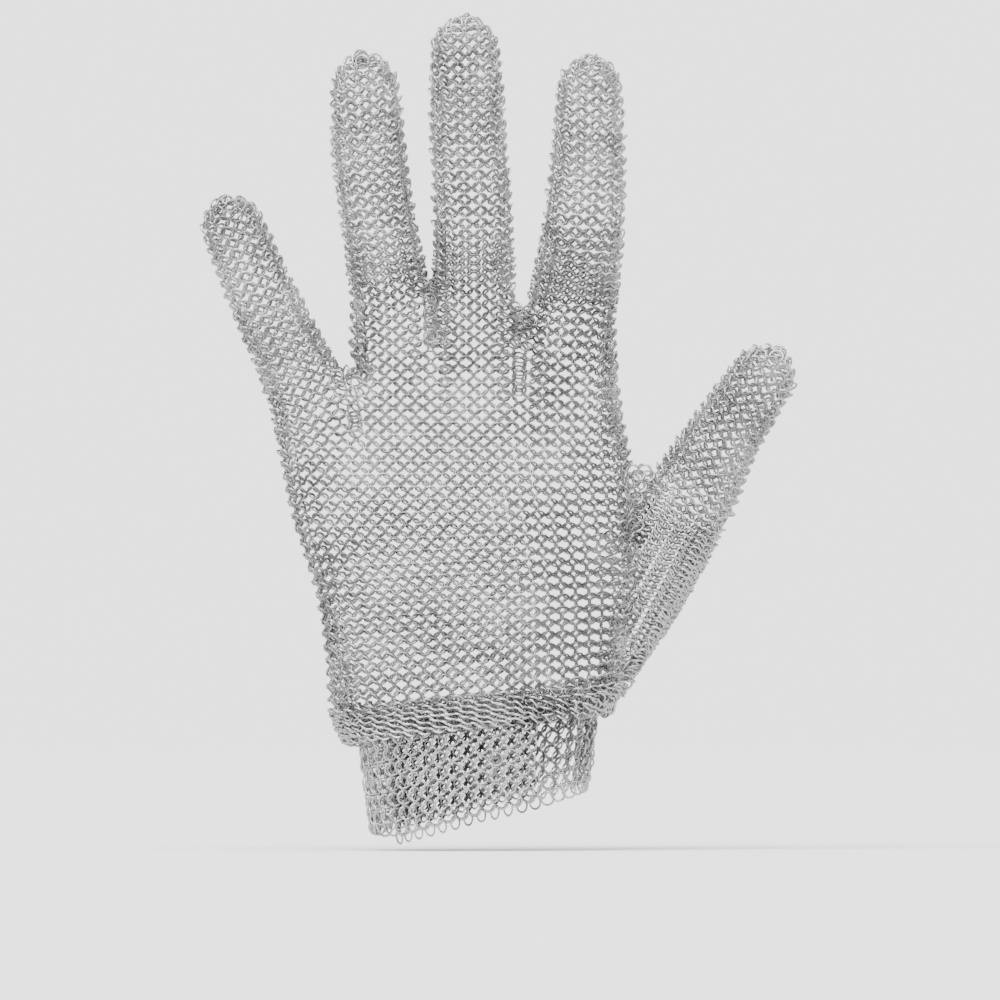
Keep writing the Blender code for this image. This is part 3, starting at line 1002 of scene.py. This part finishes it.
def hook(finish):
    """The strap's hook: one wire bent to a long open link, between the strap's two layers."""
    low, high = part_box("cuff_hook")
    middle = (low + high) / 2
    radius = (high.z - low.z - HOOK_WIRE) / 2
    start = middle.x - HOOK_START
    left, right = low.x + high.z - middle.z, high.x - high.z + middle.z
    bpy.ops.object.select_all(action="DESELECT")
    bpy.ops.mesh.primitive_circle_add(
        vertices=HOOK_SIDES,
        radius=HOOK_WIRE / 2,
        fill_type="NGON",
        location=(start, middle.y, middle.z + radius),
        rotation=(0, math.pi / 2, 0),
    )
    wire = bpy.context.active_object
    wire.name = "cuff_hook_wire"
    bpy.ops.object.mode_set(mode="EDIT")
    bpy.ops.mesh.select_all(action="SELECT")
    for length, x in ((right - start, right), (left - right, left)):
        extrude(length)
        centre = (x, middle.y, middle.z)
        bpy.ops.mesh.spin(steps=HOOK_BEND_STEPS, angle=math.pi, center=centre, axis=(0, 1, 0))
    extrude(HOOK_LIP)
    bpy.ops.mesh.select_all(action="SELECT")
    bpy.ops.mesh.remove_doubles(threshold=0.01 * MM)
    bpy.ops.mesh.normals_make_consistent(inside=False)
    bpy.ops.object.mode_set(mode="OBJECT")
    bpy.ops.object.transform_apply(location=True, rotation=True, scale=True)
    bpy.ops.object.shade_smooth_by_angle(angle=math.radians(50))
    finished(wire, finish, "cuff_hook")


# --- rings ---

def ring_shape():
    """One ring with its swollen weld, modelled at the origin: points, faces and wire turns."""
    bpy.ops.object.select_all(action="DESELECT")
    bpy.ops.mesh.primitive_torus_add(
        major_segments=RING_SIDES,
        minor_segments=WIRE_SIDES,
        major_radius=RING_RADIUS,
        minor_radius=WIRE / 2,
        generate_uvs=True,
    )
    ring = bpy.context.active_object
    mesh = ring.data
    points = np.array([vertex.co for vertex in mesh.vertices])
    faces = np.array([face.vertices for face in mesh.polygons])
    turns = np.array([item.uv for item in mesh.uv_layers[0].data])
    weld = points[:WIRE_SIDES].mean(0)
    points[:WIRE_SIDES] = weld + (points[:WIRE_SIDES] - weld) * WELD_SWELL
    bpy.data.objects.remove(ring, do_unlink=True)
    return points, faces, turns


RING_POINTS, RING_FACES, RING_TURNS = ring_shape()


def ring_frames(rings):
    """Each ring's two in-plane directions, its own axis and the outward direction at it."""
    _, along, up, sign, lean = rings
    row = unit(along)
    pitch = np.linalg.norm(along, axis=1)
    step = np.linalg.norm(up, axis=1)
    column = unit(up - row * (up * row).sum(1, keepdims=True))
    outward = np.cross(row, column)
    tilt = np.clip(TILT + TILT_RISE * (TILT_ROW_STEP - step) / MM, *TILT_RANGE)
    scatter = TILT_SCATTER + (SIDE_SCATTER - TILT_SCATTER) * (1 - facing(rings))
    tilt = np.radians((tilt + rng.normal(0, 1, len(tilt)) * scatter) * sign + lean)
    crowding = np.clip((CROWDED_PITCH - pitch) / MM * SHINGLE, 0, SHINGLE_MOST)
    yaw = np.radians(crowding + rng.normal(0, 1, len(tilt)) * scatter)
    second = column * np.cos(tilt)[:, None] + outward * np.sin(tilt)[:, None]
    normal = np.cross(row, second)
    first = row * np.cos(yaw)[:, None] + normal * np.sin(yaw)[:, None]
    return first, second, np.cross(first, second), outward


def stamped(rings):
    """All rings' points, and how far outward of its own ring's middle each of them lies."""
    first, second, axis, outward = ring_frames(rings)
    count = len(first)
    spin = rng.uniform(0, math.tau, count)[:, None]
    right = first * np.cos(spin) + second * np.sin(spin)
    top = np.cross(axis, right)
    oval = 1 + rng.normal(0, OVALNESS, (count, 1))
    basis = np.stack([right * oval, top / oval, axis], axis=2)
    places = rings[0] + rng.normal(0, PLACE_SCATTER, (count, 3))
    points = np.einsum("nij,pj->npi", basis, RING_POINTS)
    return points + places[:, None, :], np.einsum("npi,ni->np", points, outward)


def ring_mesh(name, points):
    """One mesh of many rings, with their wires' own turns as its UV map."""
    faces = RING_FACES + (np.arange(len(points)) * len(RING_POINTS))[:, None, None]
    count = len(points) * len(RING_FACES)
    mesh = bpy.data.meshes.new(name)
    mesh.vertices.add(len(points) * len(RING_POINTS))
    mesh.vertices.foreach_set("co", points.ravel())
    mesh.loops.add(count * 4)
    mesh.loops.foreach_set("vertex_index", faces.ravel())
    mesh.polygons.add(count)
    mesh.polygons.foreach_set("loop_start", np.arange(count) * 4)
    mesh.polygons.foreach_set("use_smooth", np.ones(count, dtype=bool))
    mesh.uv_layers.new(name="wire")
    mesh.uv_layers["wire"].data.foreach_set("uv", np.tile(RING_TURNS, (len(points), 1)).ravel())
    return mesh


def mail(name, rings, node, finish, paler=0.0, half_shading=0.0, slot="mail_steel"):
    """One piece of mail: the ring copied to every place, as a single mesh that replaces a node.

    paler and the painted half shading are added to the rings' own, as one number for all or one for
    each; the half shading paints light on the outward half of each ring and shade on its inward half,
    the reverse where it is negative.
    """
    points, depth = stamped(rings)
    mesh = ring_mesh(name, points)
    # each ring's random tone, the painted light on the rows of one tilt, and the given paler, which on
    # the hem and the cuff is painted light and shade
    tones = rng.uniform(0, 1, len(points)) * RING_TONES + ROW_PAINTED_LIGHT * rings[3] + paler
    # painted half shading: the outward half of each ring painted brighter than its inward half, or
    # darker where the number is negative, as on open mail
    half_shading = half_shading + SIDE_HALF_SHADING + (OPEN_HALF_SHADING - SIDE_HALF_SHADING) * facing(rings)
    tones = tones[:, None] + depth / HALF_SHADING_DEPTH * np.clip(half_shading, *HALF_SHADING_RANGE)[:, None]
    mesh.attributes.new("tone", "FLOAT", "POINT").data.foreach_set("value", tones.ravel())
    mesh.update(calc_edges=True)
    mesh.validate()
    finished(added(name, mesh), finish, node)


# --- materials ---

class Nodes:
    """A node tree, with short ways to add nodes to it."""

    def __init__(self, owner):
        owner.use_nodes = True
        self.tree = owner.node_tree

    def __getitem__(self, name):
        return self.tree.nodes[name]

    def link(self, start, end):
        self.tree.links.new(start, end)

    def add(self, kind, inputs=(), **properties):
        """A new node. Each of its named inputs is linked to a socket, or set to a value."""
        node = self.tree.nodes.new("ShaderNode" + kind)
        for name, value in properties.items():
            setattr(node, name, value)
        for name, value in dict(inputs).items():
            if isinstance(value, bpy.types.NodeSocket):
                self.link(value, node.inputs[name])
            else:
                node.inputs[name].default_value = value
        return node

    def noise(self, place, scale, detail):
        inputs = {"Vector": place, "Scale": scale, "Detail": detail}
        return self.add("TexNoise", inputs).outputs["Fac"]

    def stretched(self, place, scale):
        return self.add("Mapping", {"Vector": place, "Scale": scale}).outputs["Vector"]

    def ramp(self, value, stops):
        """The colour of a ramp at a value; its stops are pairs of position and colour."""
        node = self.add("ValToRGB", {"Fac": value})
        elements = node.color_ramp.elements
        while len(elements) < len(stops):
            elements.new(0.5)
        for element, (position, colour) in zip(elements, stops):
            element.position = position
            element.color = (*colour, 1)
        return node.outputs["Color"]

    def mixed(self, way, share, first, second):
        mix = self.add("Mix", data_type="RGBA", blend_type=way)
        mix.inputs["Factor"].default_value = share
        self.link(first, mix.inputs["A"])
        self.link(second, mix.inputs["B"])
        return mix.outputs["Result"]

    def brushed(self, lines, strength, depth, roughness):
        """Fine lines on the metal, in its bump and in a range of roughness."""
        surface = self["Principled BSDF"]
        surface.inputs["Metallic"].default_value = 1.0
        inputs = {"Height": lines, "Strength": strength, "Distance": depth}
        self.link(self.add("Bump", inputs).outputs["Normal"], surface.inputs["Normal"])
        inputs = {"Value": lines, "To Min": roughness[0], "To Max": roughness[1]}
        self.link(self.add("MapRange", inputs).outputs["Result"], surface.inputs["Roughness"])
        return surface


def grey(value):
    return (value, value, value)


WIRE_LINES = (6.0, 60.0, 1.0)
HOOK_LINES = (400.0, 400.0, 2500.0)
LINE_DETAIL = 4.0
CLOUD_SCALE = 60.0
CLOUD_DETAIL = 3.0
TONE_SHARE = 0.32  # of a ring's tone, beside the cloudy shade
STAIN_SHARE = 0.8
WELD = (  # turns round the ring, and how the weld's stain dulls the steel
    (0.0, grey(0.55)),
    (0.09, grey(1.0)),
    (0.91, grey(1.0)),
    (1.0, (0.55, 0.5, 0.46)),
)


def steel(name, dark, light):
    """Drawn steel wire: tones that differ from ring to ring, with the painted light and shade that the
    tone attribute carries, fine lines along it, a dull weld.
    """
    material = bpy.data.materials.new(name)
    nodes = Nodes(material)
    wire = nodes.add("UVMap", uv_map="wire").outputs["UV"]
    lines = nodes.noise(nodes.stretched(wire, WIRE_LINES), 1.0, LINE_DETAIL)
    surface = nodes.brushed(lines, strength=0.25, depth=0.05 * MM, roughness=(0.12, 0.32))
    # the tone attribute holds random tones together with painted light and shade
    tone = nodes.add("Attribute", attribute_name="tone").outputs["Fac"]
    cloud = nodes.noise(nodes.add("TexCoord").outputs["Object"], CLOUD_SCALE, CLOUD_DETAIL)
    blend = nodes.add("Math", {0: tone, 1: TONE_SHARE, 2: cloud}, operation="MULTIPLY_ADD")
    shade = nodes.ramp(blend.outputs[0], ((0.35, dark), (0.85, light)))
    around = nodes.add("SeparateXYZ", {"Vector": wire}).outputs["X"]
    colour = nodes.mixed("MULTIPLY", STAIN_SHARE, shade, nodes.ramp(around, WELD))
    nodes.link(colour, surface.inputs["Base Color"])
    return material


def bent_steel(name, dark, light):
    """The hook's thicker wire: brushed, with faint stains."""
    material = bpy.data.materials.new(name)
    nodes = Nodes(material)
    place = nodes.add("TexCoord").outputs["Object"]
    lines = nodes.noise(nodes.stretched(place, HOOK_LINES), 1.0, LINE_DETAIL)
    surface = nodes.brushed(lines, strength=0.2, depth=0.03 * MM, roughness=(0.25, 0.40))
    nodes.link(nodes.ramp(lines, ((0.3, dark), (0.7, light))), surface.inputs["Base Color"])
    return material


# --- making ---

MAIL_STEEL = steel("mail steel", (0.28, 0.28, 0.285), grey(0.95))
HOOK_STEEL = bent_steel("hook steel", (0.42, 0.42, 0.43), grey(0.58))
# a darker copy of the mail steel: painted shade for the cuff's layered mail
SHADED_CUFF_STEEL = steel("cuff steel with painted shade", (0.13, 0.13, 0.135), grey(0.95))


def glove():
    """The hand's, the fingers' and the thumb's mail.

    The hand's top row belongs to the hand, and each finger's first row to the finger.
    """
    tree = skin_tree(*HAND_NODES, *FINGERS, "thumb_stall")
    hand, thumb = Hand(), Tube("thumb_stall")
    grid, outwards = hand_grid(hand, tree)
    fingers, bases = lay_fingers(tree, len(grid) - 1)
    lattices = {HAND_NODES: lay_hand(tree, hand, grid, outwards, bases)}
    body = lattices[HAND_NODES]
    for name, rings in fingers.items():
        lattices[(name,)] = clear_of(rings, body, TOO_CLOSE)
    lattices[("thumb_stall",)] = lay_thumb(tree, thumb, body)
    close_bare_places(tree, lattices)

    body = lattices[HAND_NODES]
    on_back = body[0][:, 1] < SEAM_Y
    for name, node, part in zip(HEM_PAINTED_SHADE, HAND_NODES, (on_back, ~on_back)):
        rings = keep(body, part)
        share = hem_share(rings[0], hand)
        # the hem's rings get painted shade, as whole rings and on their inward halves
        mail(name, rings, node, MAIL_STEEL, HEM_PAINTED_SHADE[name] * share, HEM_HALF_SHADING * share)
    for name in FINGERS:
        title = name.replace("stall", "finger_mail")
        mail(title, lattices[(name,)], name, MAIL_STEEL, FINGER_PALER)
    rings = lattices[("thumb_stall",)]
    mail("thumb_mail", rings, "thumb_stall", MAIL_STEEL, *thumb_tones(thumb, rings[0]))


def cuff():
    rings = lay_strap()
    mail("cuff_mail", rings, "cuff_strap", SHADED_CUFF_STEEL, *strap_tones(rings), slot="cuff_steel")
    hook(HOOK_STEEL)


glove()
cuff()


# --- studio ---

FLOOR_Z = CAD_BOX[0].z - 0.4 * MM
FLOOR_RADIUS = 4.0
FLOOR_SIDES = 96
FLOOR_GREY = 0.66
FLOOR_ROUGHNESS = 0.8
CENTRE = Vector((5.9 * MM, 0.0, 85.0 * MM))
CAMERA_DISTANCE = 10.0
VIEW_WIDTH = 0.270
FILM = 36.0  # the camera's sensor, in millimetres
SEEN_STRENGTH = 2.65
AIR_STRENGTH = 1.45
CEILING = ((0.0, grey(0.75)), (0.6, grey(0.65)), (1.0, grey(0.65)))
SCREEN = ((0.6, grey(0.0)), (1.0, grey(0.15)))
KEY = (-25.0, 50.0, 50.0)  # degrees: azimuth from the front, elevation and spread
TOP = (20.0, 80.0, 60.0)
MIRRORED = (2.6, 1.3)  # strengths of key and top as the steel mirrors them
WASH = (6.4, 2.7)  # and what they give matt surfaces besides


def floor():
    bpy.ops.object.select_all(action="DESELECT")
    bpy.ops.mesh.primitive_circle_add(
        vertices=FLOOR_SIDES, radius=FLOOR_RADIUS, fill_type="NGON", location=(0, 0, FLOOR_Z)
    )
    ground = bpy.context.active_object
    ground.name = "floor"
    matt = bpy.data.materials.new("pale floor")
    inputs = Nodes(matt)["Principled BSDF"].inputs
    inputs["Base Color"].default_value = (*grey(FLOOR_GREY), 1)
    inputs["Roughness"].default_value = FLOOR_ROUGHNESS
    ground.data.materials.append(matt)
    ground.visible_glossy = False


def soft_sun(name, direction, strength, mirrored):
    """Light from far off, as wide as a big softbox."""
    azimuth, elevation, spread = (math.radians(angle) for angle in direction)
    light = bpy.data.lights.new(name, "SUN")
    light.energy = strength
    light.angle = spread
    lamp = added(name, light)
    level = math.cos(elevation)
    source = Vector((math.sin(azimuth) * level, -math.cos(azimuth) * level, math.sin(elevation)))
    lamp.rotation_euler = source.to_track_quat("Z", "Y").to_euler()
    lamp.visible_glossy = mirrored


def camera():
    data = bpy.data.cameras.new("camera")
    data.sensor_width = FILM
    data.lens = FILM * CAMERA_DISTANCE / VIEW_WIDTH
    data.clip_start = 0.01
    data.clip_end = 100.0
    viewer = added("camera", data)
    viewer.location = CENTRE + Vector((0, -CAMERA_DISTANCE, 0))
    viewer.rotation_euler = (math.radians(90), 0, 0)
    bpy.context.scene.camera = viewer


def studio_air():
    """A pale surround for the eye; for the steel to mirror, a bright front and ceiling, dark sides."""
    world = bpy.data.worlds.new("studio")
    bpy.context.scene.world = world
    nodes = Nodes(world)
    place = nodes.add("TexCoord").outputs["Generated"]
    direction = nodes.add("SeparateXYZ", {"Vector": place}).outputs
    ceiling = nodes.ramp(direction["Z"], CEILING)
    front = nodes.add("Math", {0: direction["Y"], 1: -1.0}, operation="MULTIPLY").outputs[0]
    mirrored = nodes["Background"]
    mirrored.inputs["Strength"].default_value = AIR_STRENGTH
    both = nodes.mixed("ADD", 1.0, ceiling, nodes.ramp(front, SCREEN))
    nodes.link(both, mirrored.inputs["Color"])
    seen = nodes.add("Background", {"Color": (1.0, 1.0, 1.0, 1), "Strength": SEEN_STRENGTH})
    by_eye = nodes.add("LightPath").outputs["Is Camera Ray"]
    inputs = {0: by_eye, 1: mirrored.outputs[0], 2: seen.outputs[0]}
    choice = nodes.add("MixShader", inputs)
    nodes.link(choice.outputs[0], nodes["World Output"].inputs["Surface"])


floor()
for title, direction, mirrored, wash in zip(("key", "top"), (KEY, TOP), MIRRORED, WASH):
    soft_sun(title, direction, mirrored, True)
    soft_sun(title + "_wash", direction, wash, False)
camera()
studio_air()
